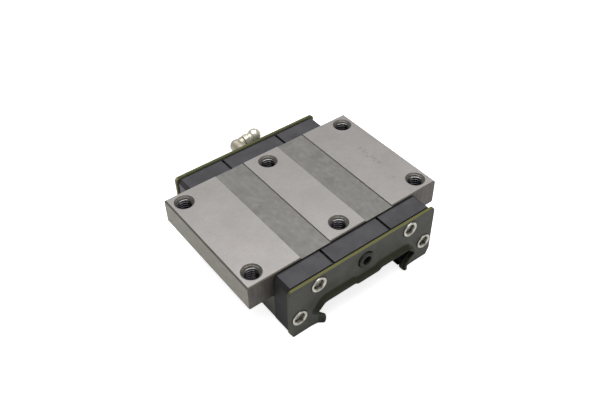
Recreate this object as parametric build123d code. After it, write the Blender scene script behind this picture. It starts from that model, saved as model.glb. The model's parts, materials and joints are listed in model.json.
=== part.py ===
from build123d import *
import math
import os

# Wide flanged linear guide carriage with four recirculating ball circuits.
# Frame: X across the rail, Y along the rail, Z up. The origin is the centre of the top mounting face.
# The front end (-Y) carries the plugged lube port and the rear end (+Y) the grease nipple.

# Steel block
FLANGE_WIDTH = 80.0
BLOCK_LENGTH = 50.0
FLANGE_THICKNESS = 10.0
BODY_WIDTH = 60.4
BODY_BOTTOM = -22.5
CENTRE_LAND_WIDTH = 15.0
OUTER_LAND_START = 19.5
RECESS_DEPTH = 0.5
EDGE_CHAMFER = 0.5
BODY_FILLET = 1.2

# Tapped mounting holes, M6
HOLE_SPACING_X = 70.0
HOLE_SPACING_Y = 40.0
HOLE_RADIUS = 3.0
COUNTERSINK_RADIUS = 3.55
COUNTERSINK_DEPTH = 0.55
CENTRE_HOLE_DEPTH = 8.5

# Space for a 42 mm wide rail head, right half from the ceiling down to the open bottom
CAVITY = [(18.9, -10.6), (22.0, -13.7), (22.0, -16.1), (19.0, -19.7), (19.0, -30.0)]
CAP_CEILING = (19.7, -11.4)

# Ball circuits
BALL_RADIUS = 3.175 / 2
BALL_CLEARANCE = 0.08
LOAD_ROW_BALLS = 15
TURN_BALLS = 3
PITCH = BLOCK_LENGTH / LOAD_ROW_BALLS
TURN_RADIUS = TURN_BALLS * PITCH / math.pi
TRACK_RADIUS = BALL_RADIUS + BALL_CLEARANCE
LOAD_CENTRE = {"upper": (20.5, -12.6), "lower": (20.3, -18.1)}
RETURN_ANGLE = {"upper": 35.0, "lower": -10.0}
TUBE_RADIUS = 2.2
GUIDE_RADIUS = 2.4
GUIDE_HALF_THICKNESS = 1.5
FIT_GAP = 0.05
SEAT_GAP = 0.02

# Struts that join the turn guides, and the plastic strips that keep the load rows in the block
WEB_X = 23.3
WEB_WIDTH = 1.6
WEB_DEPTH = 1.2
WEB_TOP_REACH = 1.8
WEB_BOTTOM_REACH = 0.5
TOP_RETAINER = [(18.75, -10.65), (19.6, -11.45), (19.3, -11.85)]
SIDE_RETAINER = [
    (20.95, -14.3), (21.95, -13.75), (21.95, -16.0), (21.2, -16.9),
    (20.95, -16.5), (21.3, -15.9), (21.3, -14.7),
]
BOTTOM_RETAINER = [(18.95, -22.4), (18.95, -19.75), (18.7, -18.95), (18.15, -19.4), (18.15, -22.4)]

# Wiper strip under each leg, along the whole carriage
BOTTOM_SEAL = [(28.6, -22.65), (28.6, -23.25), (19.2, -23.25), (17.85, -22.9), (17.95, -22.65)]

# End caps, seal cores and rubber seals, stacked outwards from the block's end face
CAP_END = 32.0
CORE_END = 32.8
SEAL_END = 34.0
LIP_END = 36.3
CAP_TOP = -1.25
CAP_TOP_HALF = 29.1
CAP_HALF = 30.4
CAP_BOTTOM = -22.6
CAP_GROOVE_X = 12.0
CAP_GROOVE_WIDTH = 1.0
CAP_GROOVE_DEPTH = 1.0
SEAL_HALF = 31.0
SEAL_TOP = -0.9
SEAL_BOTTOM = -23.3
SEAL_CORNER = 1.4
CORE_INSET = 0.7
CORE_OPENING_INSET = 0.8
LIP_BASE_WIDTH = 2.3
LIP_TIP_WIDTH = 0.9
LIP_ROOT = 0.2

# Rail opening of the seal, right half from the centre tab round to the bottom
SEAL_OPENING = [
    (4.6, -13.0), (5.8, -12.0), (18.4, -12.1), (21.1, -15.2), (21.0, -15.9),
    (18.9, -17.4), (17.6, -19.1), (17.5, -21.0), (17.8, -24.0),
]

# Cap screws, M3 low head
SCREW_CENTRES = [(19.5, -4.35), (27.2, -14.9)]
SCREW_HEAD_RADIUS = 2.9
SCREW_HEAD_END = 34.5
SCREW_SHANK_RADIUS = 1.45
SCREW_HOLE_RADIUS = 1.5
SCREW_CLEARANCE_RADIUS = 1.6
SCREW_HEAD_CLEARANCE = 0.3
SCREW_TIP = 17.5
SCREW_SOCKET_FLATS = 3.0
SCREW_SOCKET_DEPTH = 1.1

# Lube port, M6, on the centre line of both ends
PORT_Z = -6.0
PORT_RADIUS = 3.0
PORT_THREAD_RADIUS = 2.95
PORT_BOTTOM = 27.0
STEM_START = 28.0
PLUG_END = 34.9
PLUG_SOCKET_FLATS = 3.0
PLUG_SOCKET_DEPTH = 3.0
SEAL_PORT_RADIUS = 3.4
LUBE_GROOVE = 1.2
LUBE_GROOVE_REACH = 23.1
LUBE_GROOVE_DROP = 4.0

# Grease nipple: an elbow on the rear port with its arm pointing to +X and slightly up
ELBOW_Y = 40.6
ELBOW_END = 43.2
ELBOW_RADIUS = 2.7
ELBOW_ROUNDING = 2.0
ELBOW_ARM_RADIUS = 2.5
ELBOW_COLLAR_RADIUS = 3.4
ELBOW_COLLAR_START = 34.2
ELBOW_COLLAR_END = 36.0
ELBOW_FACE = 3.2
ARM_TILT = 11.0
NIPPLE_HEX_FLATS = 5.2
NIPPLE_HEX_END = 5.4
NIPPLE_NECK_RADIUS = 2.0
NIPPLE_NECK_END = 6.2
NIPPLE_HEAD_RADIUS = 2.7
NIPPLE_HEAD_START = 7.2
NIPPLE_HEAD_STOP = 9.1
NIPPLE_END = 10.8
NIPPLE_TIP_RADIUS = 1.0
NIPPLE_MOUTH_RADIUS = 0.55
NIPPLE_BORE_RADIUS = 1.0
ELBOW_BORE_RADIUS = 0.9
CHECK_BALL_RADIUS = 0.9
CHECK_BALL_X = 9.15
SPRING_WIRE_RADIUS = 0.12
SPRING_START = 4.2
SPRING_COILS = 5

SIDES = {"left": -1, "right": 1}
ENDS = {"front": -1, "rear": 1}


def end_plane(y):
    """Plane across the rail at y, with local x along X, local y along Z and its normal towards -Y."""
    return Plane(origin=(0, y, 0), x_dir=(1, 0, 0), z_dir=(0, -1, 0))


def prism(points, y_from, y_to):
    """Solid of a closed cross-section outline, from one place along the rail to another."""
    low, high = sorted((y_from, y_to))
    outline = make_face(Polyline(*points, close=True))
    return extrude(end_plane(high) * outline, amount=high - low)


def rod(x, z, radius, y_from, y_to):
    """Round bar along the rail."""
    low, high = sorted((y_from, y_to))
    return extrude(end_plane(high) * Pos(x, z) * Circle(radius), amount=high - low)


def hex_bar(x, z, flats, y_from, y_to):
    low, high = sorted((y_from, y_to))
    outline = RegularPolygon(flats / 2, 6, major_radius=False)
    return extrude(end_plane(high) * Pos(x, z) * outline, amount=high - low)


def both_halves(half):
    """Full outline from the points of its right half, listed from the centre line outwards."""
    return half + [(-x, z) for x, z in reversed(half)]


def on_side(side, points):
    return [(side * x, z) for x, z in points]


class Circuit:
    """Geometry of one ball circuit: a load row, a return row and two half-circle turns."""

    def __init__(self, side_name, level):
        self.name = f"{side_name}_{level}"
        self.side = SIDES[side_name]
        self.level = level
        angle = math.radians(RETURN_ANGLE[level])
        x, z = LOAD_CENTRE[level]
        self.u = (self.side * math.cos(angle), math.sin(angle))
        self.load = (self.side * x, z)
        self.turn = self.offset(TURN_RADIUS)
        self.back = self.offset(2 * TURN_RADIUS)

    def offset(self, distance):
        return tuple(c + distance * d for c, d in zip(self.load, self.u))

    def turn_plane(self, end):
        """Plane of the turn at one end: local x from load row to return row, local y along the rail."""
        x, z = self.turn
        normal = (-self.u[1], 0, self.u[0])
        return Plane(origin=(x, end * BLOCK_LENGTH / 2, z), x_dir=(self.u[0], 0, self.u[1]), z_dir=normal)

    def turn_channel(self, end):
        return self.turn_plane(end) * Torus(TURN_RADIUS, TRACK_RADIUS)

    def spool(self, end, grow=0.0):
        """Disc about which the balls turn; the cap holds the half outside the block."""
        disc = Cylinder(GUIDE_RADIUS + grow, 2 * (GUIDE_HALF_THICKNESS + grow))
        return self.turn_plane(end) * disc

    def row_balls(self, centre):
        first = -BLOCK_LENGTH / 2 + PITCH / 2
        x, z = centre
        return [Pos(x, first + i * PITCH, z) * Sphere(BALL_RADIUS) for i in range(LOAD_ROW_BALLS)]

    def turn_balls(self, end):
        balls = []
        for i in range(TURN_BALLS):
            angle = math.pi * (i + 0.5) / TURN_BALLS
            across = TURN_RADIUS * (1 - math.cos(angle))
            x, z = self.offset(across)
            y = end * (BLOCK_LENGTH / 2 + TURN_RADIUS * math.sin(angle))
            balls.append(Pos(x, y, z) * Sphere(BALL_RADIUS))
        return balls


CIRCUITS = [Circuit(side, level) for side in SIDES for level in ("upper", "lower")]


def beyond(end, y):
    """Large box that holds everything past |y| at one end."""
    size = 200.0
    return Pos(0, end * (y + size / 2), 0) * Box(size, size, size)


def carriage_block():
    half_width = FLANGE_WIDTH / 2
    half_body = BODY_WIDTH / 2
    c = EDGE_CHAMFER
    outline = [
        (CENTRE_LAND_WIDTH / 2, 0), (CENTRE_LAND_WIDTH / 2 + RECESS_DEPTH / 3, -RECESS_DEPTH),
        (OUTER_LAND_START - RECESS_DEPTH / 3, -RECESS_DEPTH), (OUTER_LAND_START, 0),
        (half_width - c, 0), (half_width, -c),
        (half_width, -FLANGE_THICKNESS + c), (half_width - c, -FLANGE_THICKNESS),
        (half_body + BODY_FILLET, -FLANGE_THICKNESS), (half_body, -FLANGE_THICKNESS - BODY_FILLET),
        (half_body, BODY_BOTTOM + 2 * c), (half_body - 2 * c, BODY_BOTTOM),
        (CAVITY[-1][0], BODY_BOTTOM), *reversed(CAVITY[:-1]),
    ]
    half = BLOCK_LENGTH / 2
    block = prism(both_halves(outline), -half, half)
    for side in SIDES.values():
        corner = (side * (half_body + BODY_FILLET), -FLANGE_THICKNESS - BODY_FILLET)
        block -= rod(*corner, BODY_FILLET, -half, half)
    edge = Rot(45, 0, 0) * Box(FLANGE_WIDTH + 2, c, c)
    for end in ENDS.values():
        block -= Pos(0, end * half, 0) * edge
    for circuit in CIRCUITS:
        block -= rod(*circuit.load, TRACK_RADIUS, -half, half)
        block -= rod(*circuit.back, TUBE_RADIUS + FIT_GAP, -half, half)
    for x in (-HOLE_SPACING_X / 2, 0, HOLE_SPACING_X / 2):
        depth = CENTRE_HOLE_DEPTH if x == 0 else FLANGE_THICKNESS
        hole = Pos(0, 0, -depth / 2) * Cylinder(HOLE_RADIUS, depth)
        hole += Pos(0, 0, -COUNTERSINK_DEPTH / 2) * Cone(HOLE_RADIUS, COUNTERSINK_RADIUS, COUNTERSINK_DEPTH)
        for y in (-HOLE_SPACING_Y / 2, HOLE_SPACING_Y / 2):
            block -= Pos(x, y, 0) * hole
    for end in ENDS.values():
        for x, z in both_halves(SCREW_CENTRES):
            block -= rod(x, z, SCREW_HOLE_RADIUS, end * (SCREW_TIP - 1), end * half)
    return block


def screw_clearance(end, radius, y_from, y_to):
    return [rod(x, z, radius, end * y_from, end * y_to) for x, z in both_halves(SCREW_CENTRES)]


def end_cap(end):
    inner = BLOCK_LENGTH / 2
    corner = CAP_HALF - CAP_TOP_HALF
    outline = [
        (CAP_TOP_HALF, CAP_TOP), (CAP_HALF, CAP_TOP - corner),
        (CAP_HALF, CAP_BOTTOM + corner), (CAP_TOP_HALF, CAP_BOTTOM),
        (CAVITY[-1][0], CAP_BOTTOM), *reversed(CAVITY[1:-1]), CAP_CEILING,
    ]
    cap = prism(both_halves(outline), end * inner, end * CAP_END)
    for x in (-CAP_GROOVE_X, CAP_GROOVE_X):
        cap -= Pos(x, 0, CAP_TOP) * Box(CAP_GROOVE_WIDTH, 2 * (CAP_END + 1), 2 * CAP_GROOVE_DEPTH)
    for circuit in CIRCUITS:
        cap -= circuit.turn_channel(end)
        cap -= circuit.spool(end, FIT_GAP)
    for side in SIDES.values():
        cap -= guide_web(side, end, FIT_GAP)
        cap -= lube_leg(side, end)
    for hole in screw_clearance(end, SCREW_CLEARANCE_RADIUS, inner, CAP_END):
        cap -= hole
    cap -= rod(0, PORT_Z, PORT_RADIUS, end * PORT_BOTTOM, end * CAP_END)
    cap -= rod(0, PORT_Z, LUBE_GROOVE, end * inner, end * PORT_BOTTOM)
    return cap


def lube_leg(side, end):
    """Grease groove in the cap's inner face, from the port to the turns of one side."""
    half = LUBE_GROOVE / 2
    x = side * LUBE_GROOVE_REACH
    across = Pos(x / 2, 0, PORT_Z) * Box(LUBE_GROOVE_REACH, LUBE_GROOVE, LUBE_GROOVE)
    drop = Box(LUBE_GROOVE, LUBE_GROOVE, LUBE_GROOVE_DROP + LUBE_GROOVE)
    down = Pos(x, 0, PORT_Z - LUBE_GROOVE_DROP / 2) * drop
    return Pos(0, end * (BLOCK_LENGTH / 2 + half), 0) * (across + down)


def guide_web(side, end, grow=0.0):
    """Strut that joins the upper and lower turn spools of one side."""
    top = LOAD_CENTRE["upper"][1] + WEB_TOP_REACH
    bottom = LOAD_CENTRE["lower"][1] - WEB_BOTTOM_REACH
    depth = WEB_DEPTH + grow
    y = end * (BLOCK_LENGTH + depth) / 2
    web = Box(WEB_WIDTH + 2 * grow, depth, top - bottom + 2 * grow)
    return Pos(side * WEB_X, y, (top + bottom) / 2) * web


def return_guide(side_name, end):
    side = SIDES[side_name]
    circuits = [c for c in CIRCUITS if c.side == side]
    guide = guide_web(side, end)
    for circuit in circuits:
        guide += circuit.spool(end)
    for circuit in circuits:
        guide -= circuit.turn_channel(end)
    return guide & beyond(end, BLOCK_LENGTH / 2 + FIT_GAP)


def return_tube(circuit):
    half = BLOCK_LENGTH / 2 - FIT_GAP
    tube = rod(*circuit.back, TUBE_RADIUS, -half, half)
    return tube - rod(*circuit.back, TRACK_RADIUS, -half, half)


def ball_retainer(points):
    """Plastic strip that keeps the load rows in the block when the carriage is off its rail."""
    half = BLOCK_LENGTH / 2 - FIT_GAP
    strip = prism(points, -half, half)
    for circuit in CIRCUITS:
        strip -= rod(*circuit.load, TRACK_RADIUS, -half, half)
    return strip


def seal_outline(inset=0.0):
    """Outer outline of the end seal with rounded top corners and cut bottom corners."""
    half, top, bottom = SEAL_HALF - inset, SEAL_TOP - inset, SEAL_BOTTOM + inset
    r = SEAL_CORNER
    outline = Polyline((-half, top - r), (-half, bottom + 2 * r), (-half + r, bottom))
    outline += Line((-half + r, bottom), (half - r, bottom))
    outline += Polyline((half - r, bottom), (half, bottom + 2 * r), (half, top - r))
    outline += RadiusArc((half, top - r), (half - r, top), -r)
    outline += Line((half - r, top), (-half + r, top))
    outline += RadiusArc((-half + r, top), (-half, top - r), -r)
    return make_face(outline)


def grown(outline, distance):
    """Clockwise outline pushed outwards by a distance, with mitred corners."""
    moved = []
    for i, (x, z) in enumerate(outline):
        x_before, z_before = outline[i - 1]
        x_after, z_after = outline[(i + 1) % len(outline)]
        angle_in = math.atan2(z - z_before, x - x_before)
        angle_out = math.atan2(z_after - z, x_after - x)
        half_turn = (angle_out - angle_in) / 2
        direction = angle_in + half_turn + math.pi / 2
        reach = distance / math.cos(half_turn)
        moved.append((x + reach * math.cos(direction), z + reach * math.sin(direction)))
    return moved


def opening_outline(grow=0.0):
    return make_face(Polyline(*grown(both_halves(SEAL_OPENING), grow), close=True))


def seal_plate(end, y_from, y_to, inset, screw_radius, opening_grow):
    low, high = sorted((end * y_from, end * y_to))
    plate = extrude(end_plane(high) * seal_outline(inset), amount=high - low)
    plate -= extrude(end_plane(high) * opening_outline(opening_grow), amount=high - low)
    for hole in screw_clearance(end, screw_radius, y_from, y_to):
        plate -= hole
    return plate - rod(0, PORT_Z, SEAL_PORT_RADIUS, end * y_from, end * y_to)


def seal_core(end):
    start = CAP_END + FIT_GAP
    return seal_plate(end, start, CORE_END, CORE_INSET, SCREW_CLEARANCE_RADIUS, CORE_OPENING_INSET)


def end_seal(end):
    """Rubber face with a flared wiping lip round the rail opening."""
    screw_hole = SCREW_HEAD_RADIUS + SCREW_HEAD_CLEARANCE
    seal = seal_plate(end, CORE_END + SEAT_GAP / 2, SEAL_END, 0.0, screw_hole, 0.0)
    base = end_plane(end * (SEAL_END - LIP_ROOT)) * opening_outline(LIP_BASE_WIDTH)
    tip = end_plane(end * LIP_END) * opening_outline(LIP_TIP_WIDTH)
    lip = loft([base.face(), tip.face()], ruled=True)
    lip -= extrude(end_plane(LIP_END + 1) * opening_outline(), amount=2 * LIP_END + 2)
    above_bottom = Pos(0, 0, SEAL_BOTTOM + 50) * Box(200, 200, 100)
    return seal + (lip & above_bottom)


def cap_screws(end):
    screws = []
    for x, z in both_halves(SCREW_CENTRES):
        seat = CORE_END + SEAT_GAP
        screw = rod(x, z, SCREW_SHANK_RADIUS, end * SCREW_TIP, end * seat)
        screw += rod(x, z, SCREW_HEAD_RADIUS, end * seat, end * SCREW_HEAD_END)
        floor = SCREW_HEAD_END - SCREW_SOCKET_DEPTH
        screw -= hex_bar(x, z, SCREW_SOCKET_FLATS, end * floor, end * SCREW_HEAD_END)
        screws.append(screw)
    return screws


def lube_port_plug(end):
    plug = rod(0, PORT_Z, PORT_THREAD_RADIUS, end * STEM_START, end * PLUG_END)
    floor = PLUG_END - PLUG_SOCKET_DEPTH
    return plug - hex_bar(0, PORT_Z, PLUG_SOCKET_FLATS, end * floor, end * PLUG_END)


def arm(solid):
    """Place a solid made along +Z on the elbow's arm."""
    return Pos(0, ELBOW_Y, PORT_Z) * Rot(0, 90 - ARM_TILT, 0) * solid


def turned(points):
    """Solid of revolution about Z from (radius, height) points that start and end on the axis."""
    return revolve(Plane.XZ * make_face(Polyline(*points, close=True)), axis=Axis.Z)


def nipple_elbow():
    elbow = rod(0, PORT_Z, ELBOW_RADIUS, ELBOW_COLLAR_END, ELBOW_END)
    elbow = fillet(elbow.edges().sort_by(Axis.Y)[-1], ELBOW_ROUNDING)
    elbow += rod(0, PORT_Z, PORT_THREAD_RADIUS, STEM_START, ELBOW_COLLAR_START)
    elbow += rod(0, PORT_Z, ELBOW_COLLAR_RADIUS, ELBOW_COLLAR_START, ELBOW_COLLAR_END)
    elbow += arm(Pos(0, 0, ELBOW_FACE / 2) * Cylinder(ELBOW_ARM_RADIUS, ELBOW_FACE))
    elbow -= rod(0, PORT_Z, NIPPLE_BORE_RADIUS, PORT_BOTTOM, ELBOW_Y)
    return elbow - arm(Pos(0, 0, ELBOW_FACE / 2) * Cylinder(ELBOW_BORE_RADIUS, ELBOW_FACE + FIT_GAP))


def nipple_head():
    seat = ELBOW_FACE + SEAT_GAP
    hexagon = RegularPolygon(NIPPLE_HEX_FLATS / 2, 6, major_radius=False)
    head = arm(Pos(0, 0, seat) * extrude(hexagon, amount=NIPPLE_HEX_END - seat))
    profile = [
        (0, NIPPLE_HEX_END), (NIPPLE_NECK_RADIUS, NIPPLE_HEX_END), (NIPPLE_NECK_RADIUS, NIPPLE_NECK_END),
        (NIPPLE_HEAD_RADIUS, NIPPLE_HEAD_START), (NIPPLE_HEAD_RADIUS, NIPPLE_HEAD_STOP),
        (NIPPLE_TIP_RADIUS, NIPPLE_END), (0, NIPPLE_END),
    ]
    head += arm(turned(profile))
    bore = CHECK_BALL_RADIUS + BALL_CLEARANCE
    head -= arm(Pos(0, 0, (ELBOW_FACE + CHECK_BALL_X) / 2) * Cylinder(bore, CHECK_BALL_X - ELBOW_FACE))
    head -= arm(Pos(0, 0, CHECK_BALL_X) * Sphere(bore))
    return head - arm(Pos(0, 0, NIPPLE_END) * Cylinder(NIPPLE_MOUTH_RADIUS, 4))


def nipple_spring():
    """Coil spring behind the check ball."""
    radius = CHECK_BALL_RADIUS - 2 * SPRING_WIRE_RADIUS
    height = CHECK_BALL_X - CHECK_BALL_RADIUS + SPRING_WIRE_RADIUS - SPRING_START
    coil = Helix(pitch=height / SPRING_COILS, height=height, radius=radius)
    section = Plane(origin=coil @ 0, z_dir=coil % 0) * Circle(SPRING_WIRE_RADIUS)
    return arm(Pos(0, 0, SPRING_START) * sweep(section, path=coil))


def build_nodes():
    nodes = {"carriage_block": carriage_block()}
    nodes["top_ball_retainer"] = ball_retainer(both_halves(TOP_RETAINER))
    for side_name, side in SIDES.items():
        nodes[f"{side_name}_side_ball_retainer"] = ball_retainer(on_side(side, SIDE_RETAINER))
        nodes[f"{side_name}_bottom_ball_retainer"] = ball_retainer(on_side(side, BOTTOM_RETAINER))
        nodes[f"{side_name}_bottom_seal"] = prism(on_side(side, BOTTOM_SEAL), -CAP_END, CAP_END)
    for end_name, end in ENDS.items():
        nodes[f"{end_name}_end_cap"] = end_cap(end)
        nodes[f"{end_name}_seal_core"] = seal_core(end)
        nodes[f"{end_name}_end_seal"] = end_seal(end)
        nodes[f"{end_name}_cap_screws"] = cap_screws(end)
        for side_name in SIDES:
            nodes[f"{end_name}_{side_name}_return_guide"] = return_guide(side_name, end)
    for circuit in CIRCUITS:
        nodes[f"{circuit.name}_return_tube"] = return_tube(circuit)
        nodes[f"{circuit.name}_load_balls"] = circuit.row_balls(circuit.load)
        nodes[f"{circuit.name}_return_balls"] = circuit.row_balls(circuit.back)
        for end_name, end in ENDS.items():
            nodes[f"{circuit.name}_{end_name}_turn_balls"] = circuit.turn_balls(end)
    nodes["lube_port_plug"] = lube_port_plug(ENDS["front"])
    nodes["grease_nipple_elbow"] = nipple_elbow()
    nodes["grease_nipple_head"] = nipple_head()
    nodes["grease_nipple_ball"] = arm(Pos(0, 0, CHECK_BALL_X) * Sphere(CHECK_BALL_RADIUS))
    nodes["grease_nipple_spring"] = nipple_spring()
    return nodes


os.makedirs("parts", exist_ok=True)
for name, shape in build_nodes().items():
    solids = shape if isinstance(shape, list) else shape.solids()
    export_step(Compound(children=list(solids)) if len(solids) > 1 else solids[0], f"parts/{name}.step")
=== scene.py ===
"""Looks of a wide linear guide carriage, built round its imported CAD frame. Lengths are in metres."""
import json
import math

import bmesh
import bpy
from mathutils import Matrix, Vector


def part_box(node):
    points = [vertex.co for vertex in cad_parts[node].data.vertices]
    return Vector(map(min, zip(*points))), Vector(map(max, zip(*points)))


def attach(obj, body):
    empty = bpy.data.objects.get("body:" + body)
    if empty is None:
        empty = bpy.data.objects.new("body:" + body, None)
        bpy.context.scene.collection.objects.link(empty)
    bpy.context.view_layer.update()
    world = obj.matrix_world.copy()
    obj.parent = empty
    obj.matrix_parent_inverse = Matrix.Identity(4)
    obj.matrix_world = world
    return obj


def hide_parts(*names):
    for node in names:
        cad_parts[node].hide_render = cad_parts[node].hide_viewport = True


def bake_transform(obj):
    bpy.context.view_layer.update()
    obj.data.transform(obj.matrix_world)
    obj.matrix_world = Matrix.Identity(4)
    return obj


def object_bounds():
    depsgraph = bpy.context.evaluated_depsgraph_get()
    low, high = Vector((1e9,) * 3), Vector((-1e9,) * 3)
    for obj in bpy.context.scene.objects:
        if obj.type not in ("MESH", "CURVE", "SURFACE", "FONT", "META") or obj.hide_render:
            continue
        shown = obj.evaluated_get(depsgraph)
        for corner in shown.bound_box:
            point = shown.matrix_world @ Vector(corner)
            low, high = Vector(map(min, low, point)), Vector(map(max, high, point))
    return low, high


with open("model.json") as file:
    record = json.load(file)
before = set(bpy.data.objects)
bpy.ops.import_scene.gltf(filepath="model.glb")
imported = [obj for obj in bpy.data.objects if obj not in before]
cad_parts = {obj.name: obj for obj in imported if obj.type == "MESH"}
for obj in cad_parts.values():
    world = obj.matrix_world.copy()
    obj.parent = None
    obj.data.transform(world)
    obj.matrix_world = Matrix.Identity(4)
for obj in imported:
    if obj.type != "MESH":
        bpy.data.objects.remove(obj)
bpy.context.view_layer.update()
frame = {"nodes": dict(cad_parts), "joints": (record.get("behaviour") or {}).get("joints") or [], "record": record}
nodes = frame["nodes"]
mounts = {mount["name"]: mount for mount in frame["record"]["mounts"]}

MM = 0.001
ENDS = {"front": -1, "rear": 1}

# Levels and places that tell the materials apart, and the brightness of floor and world
LAND_BOTTOM = -0.1 * MM
RECESS_TOP = -0.25 * MM
FLANGE_BOTTOM = -10.0 * MM
SEAL_FACE = 34.0 * MM
ARM_END = 3.2 * MM
# Below this height the hole threads are dark with painted shade.
SHADED_BELOW = -3.5 * MM
BRIGHT_ABOVE = -1.1 * MM
MARK_ROW = ((29.6 * MM, 31.8 * MM), (-6.0 * MM, 5.5 * MM))
SCUFF = ((29.2 * MM, 30.3 * MM), (-15.0 * MM, -14.0 * MM))
FLOOR_GLOW = 0.8
FLOOR_BOUNCE = 0.07
WORLD_GLOW = 1.0
WORLD_LIGHT = 0.25

# Camera, placed about the centre of the mounting face
CAMERA_AZIMUTH = math.radians(-37.87)
CAMERA_ELEVATION = math.radians(43.8)
CAMERA_ROLL = math.radians(-0.27)
CAMERA_DISTANCE = 247.1 * MM
CAMERA_OFFSET = (2.62 * MM, -6.88 * MM)
CAMERA_LENS = 42.84
CAMERA_SHIFT = (-0.0153, 0.0169)


# ---------------------------------------------------------------- material graphs

def srgb(red, green, blue):
    """Linear colour of an 8-bit screen colour."""
    def linear(value):
        value /= 255
        return value / 12.92 if value <= 0.04045 else ((value + 0.055) / 1.055) ** 2.4
    return (linear(red), linear(green), linear(blue), 1.0)


def grey(value):
    """A value as a colour, for mixing."""
    return (value, value, value, 1)


class Graph:
    """A material and short calls that add its nodes."""

    def __init__(self, name):
        self.material = bpy.data.materials.new(name)
        self.material.use_nodes = True
        self.tree = self.material.node_tree
        self.shader = self.tree.nodes["Principled BSDF"]
        self.position = self.add("TexCoord").outputs["Object"]

    def put(self, node, key, value):
        socket = node.inputs[key]
        if isinstance(value, bpy.types.NodeSocket):
            self.tree.links.new(value, socket)
        else:
            socket.default_value = value

    def add(self, kind, inputs=None, **attributes):
        node = self.tree.nodes.new("ShaderNode" + kind)
        for key, value in attributes.items():
            setattr(node, key, value)
        for key, value in (inputs or {}).items():
            self.put(node, key, value)
        return node

    def math(self, operation, first, second=0.0, third=0.0):
        node = self.add("Math", {0: first, 1: second, 2: third}, operation=operation)
        return node.outputs[0]

    def axis(self, letter):
        return self.add("SeparateXYZ", {0: self.position}).outputs[letter]

    def stretched(self, x, y, z):
        node = self.add("Mapping", {"Vector": self.position, "Scale": (x, y, z)})
        return node.outputs[0]

    def noise(self, scale, detail=3.0, roughness=0.55, vector=None):
        inputs = {"Vector": vector or self.position, "Scale": scale, "Detail": detail, "Roughness": roughness}
        return self.add("TexNoise", inputs).outputs["Fac"]

    def smooth(self, value, low, high):
        """0 below low, 1 above high, smooth in between."""
        inputs = {"Value": value, "From Min": low, "From Max": high}
        return self.add("MapRange", inputs, interpolation_type="SMOOTHSTEP").outputs[0]

    def spread(self, value, low, high):
        """Map a noise value near 0.5 to a range around low..high."""
        inputs = {"Value": value, "From Min": 0.3, "From Max": 0.7, "To Min": low, "To Max": high}
        return self.add("MapRange", inputs).outputs[0]

    def mix(self, factor, first, second, blend="MIX"):
        node = self.add("Mix", data_type="RGBA", blend_type=blend)
        self.put(node, 0, factor)
        self.put(node, 6, first)
        self.put(node, 7, second)
        return node.outputs[2]

    def bump(self, height, strength, distance, normal=None):
        inputs = {"Height": height, "Strength": strength, "Distance": distance}
        if normal:
            inputs["Normal"] = normal
        return self.add("Bump", inputs).outputs[0]

    def rounded_edges(self, radius):
        return self.add("Bevel", {"Radius": radius}, samples=6).outputs[0]

    def edge_mask(self, radius):
        """1 on worn edges, 0 on flat stretches."""
        bevel = self.rounded_edges(radius)
        normal = self.add("NewGeometry").outputs["Normal"]
        dot = self.add("VectorMath", {0: bevel, 1: normal}, operation="DOT_PRODUCT").outputs["Value"]
        return self.smooth(dot, 0.995, 0.85)

    def facing(self, letter):
        """Part of a surface's flat normal along an axis."""
        normal = self.add("NewGeometry").outputs["True Normal"]
        return self.add("SeparateXYZ", {0: normal}).outputs[letter]

    def up_mask(self):
        return self.smooth(self.facing("Z"), 0.9, 0.99)

    def tilt_mask(self):
        """1 on chamfers and countersinks that face half up."""
        rise = self.facing("Z")
        return self.math("MULTIPLY", self.smooth(rise, 0.25, 0.4), self.smooth(rise, 0.97, 0.88))

    def crevice(self, reach):
        """1 in tight corners and deep sockets, 0 in the open."""
        open_air = self.add("AmbientOcclusion", {"Distance": reach}, samples=8).outputs["AO"]
        return self.smooth(open_air, 0.8, 0.4)

    def window(self, letter, low, high, soft):
        """1 between two places along an axis."""
        place = self.axis(letter)
        above = self.smooth(place, low - soft, low + soft)
        return self.math("MULTIPLY", above, self.smooth(place, high + soft, high - soft))

    def patch(self, zone, soft):
        """1 inside a rectangle seen from above, given as its X range and its Y range."""
        across, along = zone
        return self.math("MULTIPLY", self.window("X", *across, soft), self.window("Y", *along, soft))

    def set(self, **settings):
        """Set inputs of the shader by name, with _ for a space, and return the material."""
        for key, value in settings.items():
            self.put(self.shader, key.replace("_", " "), value)
        return self.material


def ground_land(g, grain):
    """Ground steel: fine lines across the rail, soft clouds, specks and faint marks."""
    cloud = g.noise(85, 4, 0.6)
    speck = g.noise(2600, 2, 0.5)
    land = g.mix(g.spread(grain, 0.0, 1.0), srgb(159, 155, 153), srgb(168, 164, 162))
    land = g.mix(g.spread(cloud, 0.0, 0.55), land, srgb(146, 142, 140))
    land = g.mix(g.smooth(speck, 0.62, 0.72), land, srgb(128, 123, 119))
    return g.mix(g.math("MULTIPLY", punch_marks(g), 0.3), land, srgb(96, 92, 88))


def milled_recess(g, grain):
    """Duller, darker milled steel with a few stains."""
    milled = g.mix(g.spread(grain, 0.0, 1.0), srgb(117, 115, 112), srgb(137, 135, 131))
    milled = g.mix(g.spread(g.noise(160, 3, 0.6), 0.0, 0.5), milled, srgb(110, 108, 103))
    stain = g.math("MULTIPLY", g.smooth(g.noise(130, 3, 0.5), 0.56, 0.7), 0.35)
    return g.mix(stain, milled, srgb(96, 94, 86))


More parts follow.
